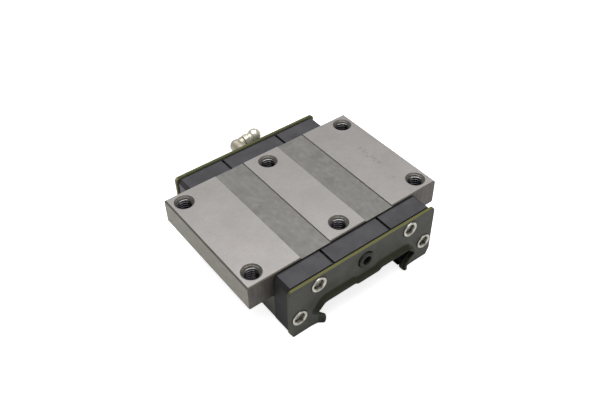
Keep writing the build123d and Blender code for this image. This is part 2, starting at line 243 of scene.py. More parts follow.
def sawn_side(g):
    """Sides with lines along the rail, ends with upright ones and painted shade that makes them darker, and
    painted shade in corners and under the flange.
    """
    side_noise = g.noise(1.0, 4, 0.6, g.stretched(300, 300, 1500))
    side = g.mix(g.spread(side_noise, 0.0, 1.0), srgb(121, 118, 109), srgb(149, 146, 136))
    end_noise = g.noise(1.0, 4, 0.6, g.stretched(1300, 300, 200))
    # Ends, which face along the rail, take a darker colour as painted shade.
    end = g.mix(g.spread(end_noise, 0.0, 1.0), srgb(87, 83, 79), srgb(110, 105, 100))
    side = g.mix(g.math("ABSOLUTE", g.facing("Y")), side, end)
    # A near-black painted shade, laid in corners by the occlusion mask and below the flange.
    dirt_and_painted_shade = srgb(38, 33, 30)
    side = g.mix(g.math("MULTIPLY", g.crevice(6 * MM), 0.75), side, dirt_and_painted_shade)
    under_flange = g.smooth(g.axis("Z"), FLANGE_BOTTOM + 0.5 * MM, FLANGE_BOTTOM - 1.5 * MM)
    return g.mix(g.math("MULTIPLY", under_flange, 0.62), side, dirt_and_painted_shade)


def block_steel():
    """The steel block's finishes, told apart by height and facing, with worn edges and painted shade on chamfers.
    """
    g = Graph("block_steel")
    land_noise = g.noise(1.0, 4, 0.6, g.stretched(260, 1900, 260))
    milled_noise = g.noise(1.0, 5, 0.65, g.stretched(620, 420, 300))
    up = g.up_mask()
    high = g.smooth(g.axis("Z"), RECESS_TOP, LAND_BOTTOM)
    top = g.mix(high, milled_recess(g, milled_noise), ground_land(g, land_noise))
    color = g.mix(up, sawn_side(g), top)
    color = g.mix(g.math("MULTIPLY", g.edge_mask(0.25 * MM), 0.3), color, srgb(184, 181, 176))
    # Chamfers and countersinks that face half up get painted shade, darker where they face along the rail.
    along_rail = g.smooth(g.math("ABSOLUTE", g.facing("Y")), 0.4, 0.6)
    painted_chamfer_shade = g.mix(along_rail, srgb(92, 88, 83), srgb(122, 117, 107))
    color = g.mix(g.math("MULTIPLY", g.tilt_mask(), 0.75), color, painted_chamfer_shade)
    fine = g.bump(land_noise, 0.25, 0.02 * MM, g.rounded_edges(0.12 * MM))
    normal = g.bump(milled_noise, 0.18, 0.03 * MM, fine)
    roughness = g.mix(up, grey(0.5), g.mix(high, grey(0.58), grey(0.42)))
    return g.set(Base_Color=color, Metallic=0.55, Roughness=roughness, Normal=normal)


def punch_marks(g):
    """Faint flecks on the right land: a short row where a maker marks the part, and a scuff by a hole."""
    soft = 0.2 * MM
    row = g.patch(MARK_ROW, soft)
    spot = g.patch(SCUFF, soft)
    flecks = g.smooth(g.noise(1.0, 2, 0.4, g.stretched(620, 1500, 100)), 0.5, 0.62)
    return g.math("MULTIPLY", g.math("MAXIMUM", row, spot), flecks)


def cap_plastic():
    """Dark moulded plastic: grey on top and darker sides as painted light and shade, darkest chamfers and corners
    as painted shade, and a painted pool of light on the rear left side.
    """
    g = Graph("cap_plastic")
    grain = g.noise(3200, 3, 0.6)
    cloud = g.noise(150, 4, 0.6)
    # Lit and shaded copies of one plastic: the top lighter and the sides darker, as painted light and shade.
    top = g.mix(g.spread(cloud, 0.0, 1.0), srgb(50, 50, 53), srgb(70, 69, 73))
    side = g.mix(g.spread(cloud, 0.0, 1.0), srgb(20, 19, 20), srgb(34, 33, 34))
    # A painted pool of light on the rear left side.
    painted_side_light = g.mix(g.spread(cloud, 0.0, 1.0), srgb(92, 91, 97), srgb(108, 107, 112))
    rear = g.smooth(g.axis("Y"), 20 * MM, 30 * MM)
    left = g.smooth(g.axis("X"), 0, -10 * MM)
    side = g.mix(g.math("MULTIPLY", rear, left), side, painted_side_light)
    color = g.mix(g.up_mask(), side, top)
    color = g.mix(g.math("MULTIPLY", g.edge_mask(0.3 * MM), 0.3), color, srgb(96, 95, 98))
    # Painted shade on the chamfers and in tight corners.
    color = g.mix(g.math("MULTIPLY", g.tilt_mask(), 0.85), color, srgb(26, 24, 26))
    color = g.mix(g.crevice(1.2 * MM), color, srgb(17, 15, 17))
    normal = g.bump(grain, 0.35, 0.03 * MM, g.rounded_edges(0.15 * MM))
    roughness = g.spread(grain, 0.5, 0.68)
    return g.set(Base_Color=color, Roughness=roughness, Normal=normal, Specular_IOR_Level=0.4)


def seal_rubber():
    """Dark olive rubber, as on its lips; its face lighter and greyer with a painted sheen, its outer edge greener
    with painted light from above, and painted shade making the lips' walls and the inside nearly black.
    """
    g = Graph("seal_rubber")
    half_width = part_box("front_end_seal")[1].x
    grain = g.noise(1500, 4, 0.6)
    cloud = g.noise(220, 3, 0.5)
    # The face is lighter and greyer than the lips because of a painted sheen.
    face = g.mix(g.spread(cloud, 0.0, 1.0), srgb(66, 67, 60), srgb(80, 81, 73))
    lip = g.mix(g.spread(cloud, 0.0, 1.0), srgb(27, 31, 14), srgb(38, 42, 23))
    rear = g.smooth(g.axis("Y"), 0.0, 1 * MM)
    # The outer edge takes painted light: a greener olive where it faces up, and a bright painted light on the rear
    # seal's back edge.
    edge = g.mix(rear, srgb(92, 91, 42), srgb(76, 78, 42))
    rim = g.mix(rear, srgb(68, 70, 50), srgb(128, 129, 98))
    edge = g.mix(g.up_mask(), rim, edge)
    depth = g.math("ABSOLUTE", g.axis("Y"))
    on_lip = g.smooth(depth, SEAL_FACE + 0.3 * MM, SEAL_FACE + 0.85 * MM)
    normal = g.add("NewGeometry").outputs["Normal"]
    across = g.math("ABSOLUTE", g.add("SeparateXYZ", {0: normal}).outputs["Y"])
    # Painted shade makes the lip's walls that face across nearly black.
    lip = g.mix(g.smooth(across, 0.5, 0.2), lip, srgb(16, 17, 12))
    behind_face = g.smooth(depth, SEAL_FACE - 0.1 * MM, SEAL_FACE - 0.4 * MM)
    outside = g.math("ABSOLUTE", g.axis("X"))
    outside = g.smooth(outside, half_width - 2.5 * MM, half_width - 2.0 * MM)
    outside = g.math("MAXIMUM", outside, g.smooth(g.axis("Z"), -2.0 * MM, -1.5 * MM))
    # Painted shade makes the walls inside the openings and holes nearly black, except near the outer edge.
    inner = g.mix(outside, srgb(20, 21, 16), edge)
    color = g.mix(on_lip, face, lip)
    color = g.mix(behind_face, color, inner)
    bumps = g.bump(grain, 0.3, 0.04 * MM)
    roughness = g.spread(grain, 0.5, 0.7)
    return g.set(Base_Color=color, Roughness=roughness, Normal=bumps, Specular_IOR_Level=0.35)


def dark_core():
    """Phosphated steel of the seal cores."""
    g = Graph("dark_core")
    grain = g.noise(1200, 3, 0.6)
    color = g.mix(g.spread(grain, 0.0, 1.0), srgb(24, 23, 24), srgb(40, 38, 38))
    return g.set(Base_Color=color, Metallic=0.6, Roughness=0.6, Normal=g.bump(grain, 0.3, 0.02 * MM))


def plated_steel(name, dark, light, roughness, metallic=0.9):
    """Bright plated steel of screws and springs, with faint handling marks and painted shade in its sockets."""
    g = Graph(name)
    grain = g.noise(900, 4, 0.6)
    dirt_and_painted_shade = g.smooth(g.noise(420, 4, 0.65), 0.5, 0.75)
    color = g.mix(g.spread(grain, 0.0, 1.0), dark, light)
    color = g.mix(g.math("MULTIPLY", dirt_and_painted_shade, 0.3), color, srgb(110, 106, 92))
    # Painted shade, near black, in sockets and tight corners.
    color = g.mix(g.math("MULTIPLY", g.crevice(1.6 * MM), 0.95), color, srgb(24, 22, 18))
    normal = g.bump(grain, 0.2, 0.02 * MM)
    roughness = g.spread(grain, roughness, roughness + 0.15)
    return g.set(Base_Color=color, Metallic=metallic, Roughness=roughness, Normal=normal)


def nipple_steel():
    """Plated steel of the grease nipple: a dull cast elbow and a brighter turned head."""
    g = Graph("nipple_steel")
    grain = g.noise(900, 4, 0.6)
    cast = g.mix(g.spread(grain, 0.0, 1.0), srgb(158, 151, 135), srgb(196, 190, 174))
    turned = g.mix(g.spread(grain, 0.0, 1.0), srgb(212, 208, 190), srgb(234, 231, 214))
    on_head = g.smooth(g.axis("X"), ARM_END - 0.3 * MM, ARM_END + 0.2 * MM)
    color = g.mix(on_head, cast, turned)
    # Painted shade in tight corners.
    color = g.mix(g.math("MULTIPLY", g.crevice(1.6 * MM), 0.7), color, srgb(52, 48, 34))
    roughness = g.mix(on_head, grey(0.46), grey(0.27))
    normal = g.bump(grain, 0.25, 0.02 * MM)
    return g.set(Base_Color=color, Metallic=0.6, Roughness=roughness, Normal=normal)


def black_oxide():
    """Blackened steel of the plug, a little lighter on its edges."""
    g = Graph("black_oxide")
    grain = g.noise(1100, 3, 0.6)
    color = g.mix(g.spread(grain, 0.0, 1.0), srgb(44, 45, 41), srgb(62, 63, 58))
    color = g.mix(g.math("MULTIPLY", g.edge_mask(0.12 * MM), 0.4), color, srgb(90, 89, 82))
    return g.set(Base_Color=color, Metallic=0.55, Roughness=0.55, Normal=g.bump(grain, 0.25, 0.02 * MM))


def thread_steel():
    """Cut thread of the mounting holes: bright near the top, with painted shade making it dark further down the
    hole.
    """
    g = Graph("thread_steel")
    grain = g.noise(1600, 3, 0.6)
    bright = g.mix(g.spread(grain, 0.0, 1.0), srgb(116, 113, 113), srgb(150, 147, 146))
    # Painted shade: the thread darkens further down the hole.
    shaded_deep = g.mix(g.spread(grain, 0.0, 1.0), srgb(43, 41, 45), srgb(69, 67, 71))
    color = g.mix(g.smooth(g.axis("Z"), SHADED_BELOW, BRIGHT_ABOVE), shaded_deep, bright)
    return g.set(Base_Color=color, Metallic=0.85, Roughness=0.24, Normal=g.bump(grain, 0.2, 0.02 * MM))


def ball_steel():
    """Polished bearing balls under a thin oil film."""
    g = Graph("ball_steel")
    film = g.noise(700, 3, 0.6)
    color = g.mix(g.spread(film, 0.0, 1.0), srgb(196, 196, 198), srgb(222, 222, 222))
    return g.set(Base_Color=color, Metallic=1.0, Roughness=g.spread(film, 0.08, 0.2))


def guide_plastic():
    """Dark moulded plastic of tubes, guides and retainers."""
    g = Graph("guide_plastic")
    grain = g.noise(2400, 3, 0.6)
    color = g.mix(g.spread(g.noise(180), 0.0, 1.0), srgb(38, 38, 40), srgb(54, 54, 56))
    normal = g.bump(grain, 0.3, 0.02 * MM)
    return g.set(Base_Color=color, Roughness=g.spread(grain, 0.45, 0.62), Normal=normal)


def floor_paper():
    """Pale seamless paper, over-exposed in the camera's view and see-through from below."""
    g = Graph("floor_paper")
    fibre = g.noise(900, 4, 0.6)
    color = g.mix(g.spread(fibre, 0.0, 1.0), grey(0.78), grey(0.82))
    g.set(Base_Color=color, Roughness=0.9, Normal=g.bump(fibre, 0.05, 0.05 * MM))
    seen = g.add("LightPath").outputs["Is Camera Ray"]
    strength = g.add("MapRange", {"Value": seen, "To Min": FLOOR_BOUNCE, "To Max": FLOOR_GLOW}).outputs[0]
    glow = g.add("Emission", {"Color": (1, 1, 1, 1), "Strength": strength}).outputs[0]
    clear = g.add("BsdfTransparent").outputs[0]
    surface = g.add("AddShader", {0: g.shader.outputs[0], 1: glow}).outputs[0]
    below = g.add("NewGeometry").outputs["Backfacing"]
    chosen = g.add("MixShader", {0: below, 1: surface, 2: clear}).outputs[0]
    g.put(g.tree.nodes["Material Output"], "Surface", chosen)
    return g.material


# ---------------------------------------------------------------- mesh building

def finish_piece(name, mesh, body, material, smooth_angle=35.0):
    """Link a mesh as a piece that rides on a body, or on none."""
    mesh.shade_smooth()
    mesh.set_sharp_from_angle(angle=math.radians(smooth_angle))
    piece = bpy.data.objects.new(name, mesh)
    bpy.context.scene.collection.objects.link(piece)
    mesh.materials.append(material)
    if body:
        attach(piece, body)
    return piece


def mesh_from(bm, name):
    bmesh.ops.recalc_face_normals(bm, faces=bm.faces)
    mesh = bpy.data.meshes.new(name)
    bm.to_mesh(mesh)
    bm.free()
    return mesh


def bridge(bm, first, second, closed=True):
    """Quads between two rows of vertices."""
    count = len(first)
    for i in range(count if closed else count - 1):
        j = (i + 1) % count
        bm.faces.new((first[i], first[j], second[j], second[i]))


def lathe(bm, rings, matrix, segments=48):
    """Closed turned body along local +Z. A ring is (height, radius), or those two and a hexagon's apothem."""
    rows = []
    for ring in rings:
        height, radius = ring[:2]
        apothem = ring[2] if len(ring) > 2 else None
        row = []
        for i in range(segments):
            angle = 2 * math.pi * i / segments
            reach = radius
            if apothem:
                within = (angle % (math.pi / 3)) - math.pi / 6
                reach = min(radius, apothem / math.cos(within))
            spot = Vector((reach * math.cos(angle), reach * math.sin(angle), height))
            row.append(bm.verts.new(matrix @ spot))
        rows.append(row)
    for first, second in zip(rows, rows[1:]):
        bridge(bm, first, second)
    bm.faces.new(rows[0])
    bm.faces.new(rows[-1])


def along_y(x, z, end):
    """Frame whose +Z points out of one end of the carriage, at a place given by x and z."""
    turn = Vector((0, end, 0)).to_track_quat("Z", "Y").to_matrix().to_4x4()
    return Matrix.Translation((x, 0, z)) @ turn


def islands(node):
    """Boxes of the separate solids of a CAD node, as (low, high) corners."""
    mesh = nodes[node].data
    bm = bmesh.new()
    bm.from_mesh(mesh)
    bmesh.ops.remove_doubles(bm, verts=bm.verts, dist=0.001 * MM)
    left = set(bm.verts)
    boxes = []
    while left:
        stack = [left.pop()]
        group = list(stack)
        while stack:
            for edge in stack.pop().link_edges:
                for vert in edge.verts:
                    if vert in left:
                        left.discard(vert)
                        stack.append(vert)
                        group.append(vert)
        low = Vector(min(v.co[i] for v in group) for i in range(3))
        high = Vector(max(v.co[i] for v in group) for i in range(3))
        boxes.append((low, high))
    bm.free()
    return sorted(boxes, key=lambda box: tuple(box[0]))


def arc(centre, radius, start, stop, steps):
    """Points of a circular arc, angles in degrees."""
    points = []
    for i in range(steps + 1):
        angle = math.radians(start + (stop - start) * i / steps)
        points.append((centre[0] + radius * math.cos(angle), centre[1] + radius * math.sin(angle)))
    return points


def rounded_path(points, radius, steps=5):
    """Open path with each inner corner replaced by a short curve."""
    path = [Vector(points[0])]
    for before, corner, after in zip(points, points[1:], points[2:]):
        before, corner, after = Vector(before), Vector(corner), Vector(after)
        reach = min(radius, (before - corner).length * 0.45, (after - corner).length * 0.45)
        start = corner + (before - corner).normalized() * reach
        stop = corner + (after - corner).normalized() * reach
        for i in range(steps + 1):
            t = i / steps
            path.append(start.lerp(corner, t).lerp(corner.lerp(stop, t), t))
    path.append(Vector(points[-1]))
    return path


def resample(path, step):
    """Points at even distances along a path."""
    out = [path[0]]
    carry = 0.0
    for a, b in zip(path, path[1:]):
        length = (b - a).length
        while carry + length >= step:
            t = (step - carry) / length
            a = a.lerp(b, t)
            length = (b - a).length
            carry = 0.0
            out.append(a)
        carry += length
    if (out[-1] - path[-1]).length > step * 0.3:
        out.append(path[-1])
    return out


# ---------------------------------------------------------------- end seals

RAIL_OPENING = [  # right half of the wiped outline, from the centre tab round to the foot, in mm
    (0, -13.0), (4.7, -13.0), (5.7, -12.05), (18.4, -12.05), (21.2, -15.2), (21.0, -15.9),
    (18.9, -17.4), (17.6, -19.1), (17.45, -21.0), (17.9, -23.3),
]
LIP_THICKNESS = 0.55 * MM
FOOT_THICKNESS = 1.25 * MM
LIP_SLANT = 1.2 * MM
LEG_TIP_DROP = 0.3 * MM
FLARE_TOP = 3.9 * MM
FLARE_SIDE = 2.4 * MM
FLARE_FOOT = 3.6 * MM
FLARE_LEFT_CUT = 0.5 * MM
SEAL_ROUNDING = 0.2 * MM
HOLE_ROUNDING = 0.1 * MM
FOOT_ROUNDING = 1.1 * MM
FOOT_EDGE = 20.3 * MM
OUTLINE_CORNER = 1.4 * MM
OUTLINE_CUT = 2.6 * MM
OUTLINE_STEP = 3 * MM
LIP_CORNER = 1.1 * MM
LIP_STEP = 0.35 * MM
LIP_CLEARANCE = 0.03 * MM
SEAL_HOLE_RADIUS = 3.0 * MM
PORT_HOLE_RADIUS = 3.2 * MM
PROFILE_STEPS = 14
NOSE_STEPS = 4
NORMAL_SMOOTHING = 5


def ease(value, low, high):
    """Smooth step from 0 at low to 1 at high."""
    t = min(max((value - low) / (high - low), 0.0), 1.0)
    return t * t * (3 - 2 * t)


def lip_path():
    """Points round the rail opening and their normals, from the left foot to the right foot."""
    corners = [(x * MM, z * MM) for x, z in RAIL_OPENING]
    right = resample(rounded_path(corners, LIP_CORNER), LIP_STEP)
    path = [Vector((-p.x, p.y)) for p in right[:0:-1]] + right
    count = len(path)
    normals = []
    for i in range(count):
        ahead, behind = path[min(i + 1, count - 1)], path[max(i - 1, 0)]
        step = (ahead - behind).normalized()
        normals.append(Vector((-step.y, step.x)))
    for _ in range(NORMAL_SMOOTHING):
        padded = [normals[0], *normals, normals[-1]]
        normals = [(a + b + c).normalized() for a, b, c in zip(padded, padded[1:], padded[2:])]
    normals[0], normals[-1] = Vector((-1, 0)), Vector((1, 0))
    return path, normals


def lip_column(point, normal, face, back, high_tip, floor):
    """One section of the lip: its inner wall, its rounded nose and its hollow flare down to the face."""
    x, z = abs(point.x), point.y
    beside = ease(x, 16.5 * MM, 20.5 * MM)
    low = ease(-z, 14.5 * MM, 17.5 * MM)
    width = FLARE_TOP + (FLARE_SIDE - FLARE_TOP) * beside + (FLARE_FOOT - FLARE_SIDE) * low
    width -= FLARE_LEFT_CUT * ease(-x, -6.0 * MM, -4.5 * MM)
    slant = LIP_SLANT * ease(z, -22.0 * MM, -19.0 * MM)
    thickness = LIP_THICKNESS + (FOOT_THICKNESS - LIP_THICKNESS) * ease(-z, 15.5 * MM, 19.0 * MM)
    tip = high_tip - LEG_TIP_DROP * ease(-z, 13.0 * MM, 17.0 * MM)
    foot = min(max((FOOT_ROUNDING + floor - z) / FOOT_ROUNDING, 0.0), 1.0)
    tip -= FOOT_ROUNDING * (1 - math.sqrt(1 - 0.96 * foot * foot))
    inner = point + normal * slant
    column = [(inner.x, inner.y, back)]
    for k in range(NOSE_STEPS + 1):
        angle = math.pi * k / NOSE_STEPS
        spot = point + normal * thickness / 2 * (1 - math.cos(angle))
        column.append((spot.x, spot.y, tip - thickness / 2 * (1 - math.sin(angle))))
    start = tip - thickness / 2
    rest = PROFILE_STEPS - len(column)
    for k in range(1, rest + 1):
        t = k / rest
        spot = point + normal * (thickness + (width - thickness) * t)
        column.append((spot.x, spot.y, face + (start - face) * (1 - t) ** 2.2))
    return column


def lip_columns(face, back, high_tip):
    """Columns of (x, z, depth) from the back of the opening over the lip and down its flare to the face."""
    path, normals = lip_path()
    floor = path[0].y
    return [lip_column(point, normal, face, back, high_tip, floor) for point, normal in zip(path, normals)]


def rim_columns(outline, inward, face, back, rounding):
    """Columns for a plain rim with a rounded front edge."""
    columns = []
    for point, normal in zip(outline, inward):
        column = [(point.x, point.y, back)]
        for k in range(PROFILE_STEPS - 1):
            angle = math.pi / 2 * k / (PROFILE_STEPS - 2)
            spot = point + normal * rounding * (1 - math.cos(angle))
            column.append((spot.x, spot.y, face - rounding * (1 - math.sin(angle))))
        columns.append(column)
    return columns


def seal_outline(low, high, corner, cut):
    """Outer outline from the right foot anticlockwise to the left foot, with inward normals."""
    half = high.x
    points = [Vector((FOOT_EDGE, low.z)), Vector((half - cut / 2, low.z)), Vector((half, low.z + cut))]
    points += [Vector(p) for p in arc((half - corner, high.z - corner), corner, 0, 90, 6)]
    points += [Vector((-p.x, p.y)) for p in reversed(points)]
    even = []
    for a, b in zip(points, points[1:]):
        pieces = max(1, round((b - a).length / OUTLINE_STEP))
        even += [a.lerp(b, i / pieces) for i in range(pieces)]
    even.append(points[-1])
    normals = []
    for i, point in enumerate(even):
        before = (point - even[i - 1]).normalized() if i else Vector((1, 0))
        after = (even[i + 1] - point).normalized() if i + 1 < len(even) else Vector((1, 0))
        along = (before + after).normalized()
        normals.append(Vector((-along.y, along.x)) / max(0.5, along.dot(after)))
    return even, normals


def circle_columns(x, z, radius, face, back, segments=40):
    """Columns for a round hole with a softened edge."""
    outline, inward = [], []
    for i in range(segments):
        angle = -2 * math.pi * i / segments
        direction = Vector((math.cos(angle), math.sin(angle)))
        outline.append(Vector((x, z)) + direction * radius)
        inward.append(direction)
    return rim_columns(outline, inward, face, back, HOLE_ROUNDING)


def end_seal(end_name, end, material, screw_boxes):
    """Rubber end seal: a plate with rounded edges, its openings, and a flared lip that wipes the rail."""
    node = f"{end_name}_end_seal"
    low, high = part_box(node)
    back = min(abs(low.y), abs(high.y))
    tip = max(abs(low.y), abs(high.y)) - LIP_CLEARANCE
    outline, inward = seal_outline(low, high, OUTLINE_CORNER, OUTLINE_CUT)
    rim = rim_columns(outline, inward, SEAL_FACE, back, SEAL_ROUNDING)
    loops = [rim + lip_columns(SEAL_FACE, back, tip)]
    for box_low, box_high in screw_boxes:
        centre = (box_low + box_high) / 2
        loops.append(circle_columns(centre.x, centre.z, SEAL_HOLE_RADIUS, SEAL_FACE, back))
    loops.append(circle_columns(0, PORT_Z, PORT_HOLE_RADIUS, SEAL_FACE, back))
    bm = bmesh.new()
    borders = {0: [], -1: []}
    for columns in loops:
        rows = [[bm.verts.new((x, end * depth, z)) for x, z, depth in row] for row in zip(*columns)]
        for first, second in zip(rows, rows[1:]):
            bridge(bm, first, second)
        for level in borders:
            row = rows[level]
            borders[level] += [bm.edges.get((row[i - 1], row[i])) for i in range(len(row))]
    for edges in borders.values():
        bmesh.ops.triangle_fill(bm, use_beauty=True, edges=edges)
    bmesh.ops.remove_doubles(bm, verts=bm.verts, dist=0.002 * MM)
    name = f"{end_name}_rubber_end_seal"
    piece = finish_piece(name, mesh_from(bm, node), "carriage", material)
    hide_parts(node)


# ---------------------------------------------------------------- fasteners and fittings

PORT_Z = (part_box("lube_port_plug")[0].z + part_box("lube_port_plug")[1].z) / 2
SCREW_SEAT = 32.82 * MM
SCREW_SHANK = 1.43 * MM
SCREW_EDGE = 0.28 * MM
SCREW_MOUTH = 0.79  # of the head's radius
SCREW_SOCKET = 1.88 * MM
PLUG_PITCH = 0.5 * MM
PLUG_THREAD_DEPTH = 0.3 * MM
PLUG_SOCKET = 1.65 * MM


def screw_rings(head_radius, tip, top):
    """Section of a cap screw: shank, low head, hexagon socket and the drill point at its floor."""
    mouth = SCREW_MOUTH * head_radius
    rings = [(tip, 0.9 * MM), (tip + 0.4 * MM, 1.3 * MM)]
    rings += [(tip + 0.6 * MM, SCREW_SHANK), (SCREW_SEAT, SCREW_SHANK), (SCREW_SEAT, head_radius - 0.15 * MM)]
    rings += [(SCREW_SEAT + 0.15 * MM, head_radius)]
    for k in range(5):
        angle = math.pi / 2 * k / 4
        level = top - SCREW_EDGE * (1 - math.sin(angle))
        rings.append((level, head_radius - SCREW_EDGE * (1 - math.cos(angle))))
    rings += [(top, mouth + 0.06 * MM), (top - 0.04 * MM, mouth)]
    rings += [(top - 0.25 * MM, 2.15 * MM, SCREW_SOCKET), (top - 1.3 * MM, 2.12 * MM, SCREW_SOCKET)]
    rings += [(top - 1.36 * MM, 1.6 * MM), (top - 1.37 * MM, 0.8 * MM), (top - 1.45 * MM, 0.74 * MM)]
    rings += [(top - 1.85 * MM, 0.12 * MM)]
    return rings


def cap_screws(end_name, end, material, screw_boxes):
    """The four low-head cap screws of one end, as one piece."""
    node = f"{end_name}_cap_screws"
    bm = bmesh.new()
    for low, high in screw_boxes:
        centre = (low + high) / 2
        head_radius = (high.x - low.x) / 2
        top = max(abs(low.y), abs(high.y))
        tip = min(abs(low.y), abs(high.y))
        lathe(bm, screw_rings(head_radius, tip, top), along_y(centre.x, centre.z, end))
    name = f"{end_name}_socket_screws"
    piece = finish_piece(name, mesh_from(bm, node), "carriage", material)
    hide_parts(node)


def port_plug(end, material):
    """Socket set screw that closes the unused lube port."""
    low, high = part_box("lube_port_plug")
    radius = (high.x - low.x) / 2
    top = max(abs(low.y), abs(high.y))
    tip = min(abs(low.y), abs(high.y))
    rings = [(tip, 2.2 * MM), (tip + 0.5 * MM, radius - 0.1 * MM)]
    half_turns = int((top - tip - 1.4 * MM) / PLUG_PITCH)
    for k in range(half_turns):
        rings.append((tip + 0.6 * MM + PLUG_PITCH * k, radius - PLUG_THREAD_DEPTH * (k % 2)))
    rings += [(top - 0.55 * MM, radius), (top - 0.35 * MM, radius - 0.04 * MM)]
    rings += [(top - 0.1 * MM, radius - 0.35 * MM), (top, radius - 0.6 * MM), (top, 1.98 * MM)]
    rings += [(top - 0.2 * MM, 1.9 * MM, PLUG_SOCKET), (top - 2.8 * MM, 1.9 * MM, PLUG_SOCKET)]
    rings += [(top - 2.85 * MM, 1.2 * MM), (top - 3.4 * MM, 0.1 * MM)]
    bm = bmesh.new()
    lathe(bm, rings, along_y(0, PORT_Z, end))
    mesh = mesh_from(bm, "set_screw")
    piece = finish_piece("lube_port_set_screw", mesh, "carriage", material)
    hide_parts("lube_port_plug")


# ---------------------------------------------------------------- grease nipple

ELBOW_DEPTH = 40.6 * MM
ELBOW_RADIUS = 2.65 * MM
ELBOW_DOME = 2.3 * MM
ELBOW_VOXEL = 0.16 * MM
HEXAGON = 2.35 * MM
HEAD_CENTRE = 8.05 * MM
HEAD_RADIUS = 2.7 * MM
BALL_SEAT = 9.15 * MM
BORE_RADIUS = 0.96 * MM
BORE_START = 4.0 * MM
SPRING_START = 4.2 * MM
SPRING_HEIGHT = 4.17 * MM
SPRING_TURNS = 5
SPRING_RADIUS = 0.66 * MM
SPRING_WIRE = 0.12 * MM


def elbow_frame():
    """Frame on the grease nipple's arm: +Z points out of its mouth."""
    joint = next(j for j in frame["joints"] if j["name"] == "nipple_ball_lift")
    direction = -Vector(joint["axis"])
    turn = direction.to_track_quat("Z", "Y").to_matrix().to_4x4()
    return Matrix.Translation((0, ELBOW_DEPTH, PORT_Z)) @ turn


def elbow_knee(outer):
    """Stem, collar and rounded end of the elbow, along the port."""
    rings = [(28.2 * MM, 2.8 * MM), (34.25 * MM, 2.85 * MM), (34.3 * MM, 3.3 * MM), (35.8 * MM, 3.3 * MM)]
    rings += [(36.0 * MM, ELBOW_RADIUS)]
    crown = 0.4 * MM
    for k in range(9):
        angle = math.pi / 2 * k / 8
        level = outer - ELBOW_DOME * (1 - math.sin(angle))
        rings.append((level, crown + (ELBOW_RADIUS - crown) * math.cos(angle)))
    bm = bmesh.new()
    lathe(bm, rings, along_y(0, PORT_Z, 1), 64)
    return bpy.data.objects.new("elbow_knee", mesh_from(bm, "elbow_knee"))


def elbow_limb():
    """Arm of the elbow, with a low collar at its end."""
    rings = [(0.0, 2.3 * MM), (2.6 * MM, 2.35 * MM), (2.9 * MM, 2.45 * MM), (3.15 * MM, 2.3 * MM)]
    bm = bmesh.new()
    lathe(bm, rings, elbow_frame(), 64)
    return bpy.data.objects.new("elbow_limb", mesh_from(bm, "elbow_limb"))


def grease_elbow(material):
    """Forged elbow: knee and arm melted into one smooth body."""
    node = "grease_nipple_elbow"
    knee, limb = elbow_knee(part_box(node)[1].y), elbow_limb()
    for part in (knee, limb):
        bpy.context.scene.collection.objects.link(part)
    union = knee.modifiers.new("union", "BOOLEAN")
    union.operation, union.object, union.solver = "UNION", limb, "EXACT"
    remesh = knee.modifiers.new("remesh", "REMESH")
    remesh.mode, remesh.voxel_size = "VOXEL", ELBOW_VOXEL
    smooth = knee.modifiers.new("smooth", "SMOOTH")
    smooth.factor, smooth.iterations = 0.5, 8
    bpy.context.view_layer.update()
    shape = bpy.data.meshes.new_from_object(knee.evaluated_get(bpy.context.evaluated_depsgraph_get()))
    for part in (knee, limb):
        bpy.data.objects.remove(part)
    piece = finish_piece("grease_elbow_body", shape, "carriage", material, 60)
    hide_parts(node)


def grease_nipple(material):
    """Nipple screwed into the elbow: hexagon, waist, ball-shaped head, mouth and seat of the check ball."""
    node = "grease_nipple_head"
    rings = [(3.2 * MM, 1.9 * MM), (3.25 * MM, 2.2 * MM, HEXAGON), (3.5 * MM, 2.4 * MM, HEXAGON)]
    rings += [(4.9 * MM, 2.6 * MM, HEXAGON), (5.2 * MM, 2.45 * MM, HEXAGON), (5.35 * MM, 2.25 * MM)]
    rings += [(5.6 * MM, 2.15 * MM), (5.9 * MM, 2.12 * MM)]
    for k in range(13):
        angle = math.radians(-40 + 108 * k / 12)
        rings.append((HEAD_CENTRE + HEAD_RADIUS * math.sin(angle), HEAD_RADIUS * math.cos(angle)))
    rings += [(10.55 * MM, 0.85 * MM), (10.65 * MM, 0.6 * MM), (10.5 * MM, 0.5 * MM), (10.06 * MM, 0.45 * MM)]
    for k in range(7):
        angle = math.radians(62 - 62 * k / 6)
        rings.append((BALL_SEAT + BORE_RADIUS * math.sin(angle), BORE_RADIUS * math.cos(angle)))
    rings += [(BORE_START, BORE_RADIUS)]
    bm = bmesh.new()
    lathe(bm, rings, elbow_frame(), 60)
    piece = finish_piece("grease_nipple_body", mesh_from(bm, node), "carriage", material, 28)
    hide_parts(node)


def valve_spring(material):
    """Coil spring behind the check ball."""
    steps, around = 160, 10
    rise = SPRING_HEIGHT / (2 * math.pi * SPRING_TURNS * SPRING_RADIUS)
    matrix = elbow_frame()
    bm = bmesh.new()
    rows = []
    for k in range(steps + 1):
        angle = 2 * math.pi * SPRING_TURNS * k / steps
        out = Vector((math.cos(angle), math.sin(angle), 0))
        centre = out * SPRING_RADIUS + Vector((0, 0, SPRING_START + SPRING_HEIGHT * k / steps))
        along = Vector((-out.y, out.x, rise)).normalized()
        side = along.cross(out)
        row = []
        for i in range(around):
            turn = 2 * math.pi * i / around
            spot = centre + (out * math.cos(turn) + side * math.sin(turn)) * SPRING_WIRE
            row.append(bm.verts.new(matrix @ spot))
        rows.append(row)
    for first, second in zip(rows, rows[1:]):
        bridge(bm, first, second)
    bm.faces.new(rows[0])
    bm.faces.new(rows[-1])
    mesh = mesh_from(bm, "valve_spring")
    piece = finish_piece("nipple_valve_spring", mesh, None, material, 60)
    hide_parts("grease_nipple_spring")
    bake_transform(piece)


# ---------------------------------------------------------------- mounting hole threads

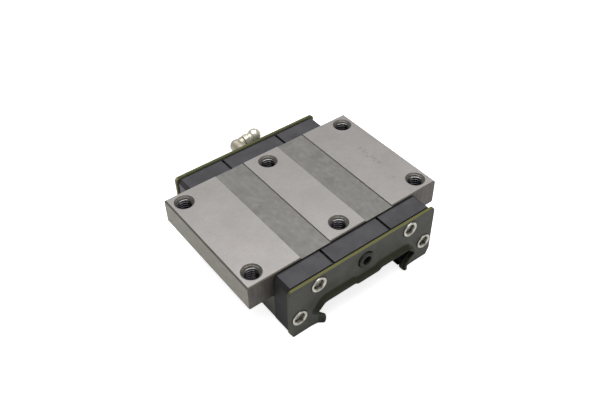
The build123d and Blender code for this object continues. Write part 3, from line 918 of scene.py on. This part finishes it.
THREAD_PITCH = 1.0 * MM
THREAD_CREST = 2.5 * MM
THREAD_ROOT = 2.985 * MM
THREAD_CREST_FLAT = 0.125
THREAD_FLANK = 0.28
THREAD_TOP = -0.54 * MM
THREAD_BOTTOM = {"centre": -8.35 * MM, "side": -9.85 * MM}
SLEEVE_WALL = 0.01 * MM


def thread_row(bm, x, y, z, around):
    """One level of a thread's inner surface, cut back at the countersink."""
    countersink = THREAD_ROOT - (THREAD_TOP - z)
    row = []
    for i in range(around):
        turn = i / around
        phase = (z / THREAD_PITCH + turn) % 1.0
        ridge = (THREAD_CREST_FLAT + THREAD_FLANK - abs(phase - 0.5)) / THREAD_FLANK
        height = (THREAD_ROOT - THREAD_CREST) * min(max(ridge, 0.0), 1.0)
        radius = max(THREAD_ROOT - height, countersink)
        angle = 2 * math.pi * turn
        row.append(bm.verts.new((x + radius * math.cos(angle), y + radius * math.sin(angle), z)))
    return row


def thread_sleeve(bm, x, y, bottom, around=72, per_turn=20):
    """Closed thin sleeve with a thread on its inside."""
    levels = round((THREAD_TOP - bottom) / (THREAD_PITCH / per_turn))
    heights = [THREAD_TOP + (bottom - THREAD_TOP) * k / levels for k in range(levels + 1)]
    inner = [thread_row(bm, x, y, z, around) for z in heights]
    spots = [2 * math.pi * i / around for i in range(around)]
    reach = THREAD_ROOT + SLEEVE_WALL
    outer = []
    for z in (THREAD_TOP, bottom):
        outer.append([bm.verts.new((x + reach * math.cos(a), y + reach * math.sin(a), z)) for a in spots])
    for first, second in zip(inner, inner[1:]):
        bridge(bm, first, second)
    bridge(bm, outer[0], inner[0])
    bridge(bm, inner[-1], outer[1])
    bridge(bm, outer[1], outer[0])


def hole_threads(material):
    """Cut thread in the six mounting holes."""
    corner = mounts["corner_bolts"]["dims"]
    across, along = corner["spacing_x_mm"] / 2 * MM, corner["spacing_y_mm"] / 2 * MM
    bm = bmesh.new()
    for x in (-1, 0, 1):
        for y in (-1, 1):
            bottom = THREAD_BOTTOM["side" if x else "centre"]
            thread_sleeve(bm, x * across, y * along, bottom)
    mesh = mesh_from(bm, "threads")
    finish_piece("mounting_hole_threads", mesh, "carriage", material, 50)


# ---------------------------------------------------------------- assembly

def make_finishes():
    """One material for each material slot of the record."""
    return {
        "ground_steel": block_steel(),
        "cap_plastic": cap_plastic(),
        "seal_rubber": seal_rubber(),
        "core_steel": dark_core(),
        "screw_steel": plated_steel("screw_steel", srgb(178, 176, 166), srgb(220, 218, 208), 0.24, 0.8),
        "nipple_steel": nipple_steel(),
        "spring_steel": plated_steel("spring_steel", srgb(150, 150, 150), srgb(190, 190, 190), 0.3),
        "plug_steel": black_oxide(),
        "ball_steel": ball_steel(),
        "guide_plastic": guide_plastic(),
    }


def node_slot(name):
    """Material slot of a CAD node, told by the words in its name."""
    words = {
        "_balls": "ball_steel",
        "nipple_ball": "ball_steel",
        "spring": "spring_steel",
        "retainer": "guide_plastic",
        "guide": "guide_plastic",
        "tube": "guide_plastic",
        "core": "core_steel",
        "seal": "seal_rubber",
        "cap_screws": "screw_steel",
        "end_cap": "cap_plastic",
        "plug": "plug_steel",
        "nipple": "nipple_steel",
    }
    for word, slot in words.items():
        if word in name:
            return slot
    return "ground_steel"


def dress(finishes):
    """Give every CAD node its material and add the pieces that stand for the plainer ones."""
    for name, node in nodes.items():
        node.data.materials.clear()
        node.data.materials.append(finishes[node_slot(name)])
    for end_name, end in ENDS.items():
        boxes = islands(f"{end_name}_cap_screws")
        end_seal(end_name, end, finishes["seal_rubber"], boxes)
        cap_screws(end_name, end, finishes["screw_steel"], boxes)
    port_plug(ENDS["front"], finishes["plug_steel"])
    grease_elbow(finishes["nipple_steel"])
    grease_nipple(finishes["nipple_steel"])
    valve_spring(finishes["spring_steel"])
    hole_threads(thread_steel())


# ---------------------------------------------------------------- floor, light and camera

def add_floor():
    """Large sheet of paper just under the lowest point."""
    bpy.ops.mesh.primitive_grid_add(x_subdivisions=4, y_subdivisions=4, size=4.0)
    floor = bpy.context.object
    floor.name = "floor"
    floor.location.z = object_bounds()[0].z - 0.02 * MM
    floor.data.materials.append(floor_paper())


def add_area(name, azimuth, elevation, distance, size, power):
    """Square softbox aimed at the origin. Azimuth 0 is in front (-Y) and 90 to the right (+X)."""
    data = bpy.data.lights.new(name, "AREA")
    data.shape, data.size, data.energy = "SQUARE", size, power
    light = bpy.data.objects.new(name, data)
    a, e = math.radians(azimuth), math.radians(elevation)
    back = Vector((math.sin(a) * math.cos(e), -math.cos(a) * math.cos(e), math.sin(e)))
    light.location = back * distance
    light.rotation_euler = (-back).to_track_quat("-Z", "Y").to_euler()
    bpy.context.scene.collection.objects.link(light)


def add_world():
    """White where the camera sees it, dim for everything else."""
    world = bpy.data.worlds.new("studio")
    world.use_nodes = True
    tree = world.node_tree
    background = tree.nodes["Background"]
    background.inputs["Color"].default_value = (1, 1, 1, 1)
    seen = tree.nodes.new("ShaderNodeLightPath").outputs["Is Camera Ray"]
    strength = tree.nodes.new("ShaderNodeMapRange")
    strength.inputs["To Min"].default_value = WORLD_LIGHT
    strength.inputs["To Max"].default_value = WORLD_GLOW
    tree.links.new(seen, strength.inputs["Value"])
    tree.links.new(strength.outputs[0], background.inputs["Strength"])
    bpy.context.scene.world = world


def add_camera():
    """Camera on a line from the mounting face, with a small roll and shift."""
    cos_e, sin_e = math.cos(CAMERA_ELEVATION), math.sin(CAMERA_ELEVATION)
    cos_a, sin_a = math.cos(CAMERA_AZIMUTH), math.sin(CAMERA_AZIMUTH)
    back = Vector((sin_a * cos_e, -cos_a * cos_e, sin_e))
    right = Vector((cos_a, sin_a, 0))
    up = back.cross(right)
    rolled_right = right * math.cos(CAMERA_ROLL) + up * math.sin(CAMERA_ROLL)
    rolled_up = back.cross(rolled_right)
    data = bpy.data.cameras.new("camera")
    data.lens, data.clip_start = CAMERA_LENS, 0.01
    data.shift_x, data.shift_y = CAMERA_SHIFT
    camera = bpy.data.objects.new("camera", data)
    turn = Matrix((rolled_right, rolled_up, back)).transposed().to_4x4()
    place = rolled_right * CAMERA_OFFSET[0] + rolled_up * CAMERA_OFFSET[1] + back * CAMERA_DISTANCE
    camera.matrix_world = Matrix.Translation(place) @ turn
    bpy.context.scene.collection.objects.link(camera)
    bpy.context.scene.camera = camera


dress(make_finishes())
add_floor()
add_world()
add_area("top", azimuth=150, elevation=84, distance=1.2, size=1.3, power=20.0)
add_area("left", azimuth=-95, elevation=12, distance=0.9, size=0.6, power=0.3)
add_camera()
bpy.context.scene.view_settings.view_transform = "Standard"
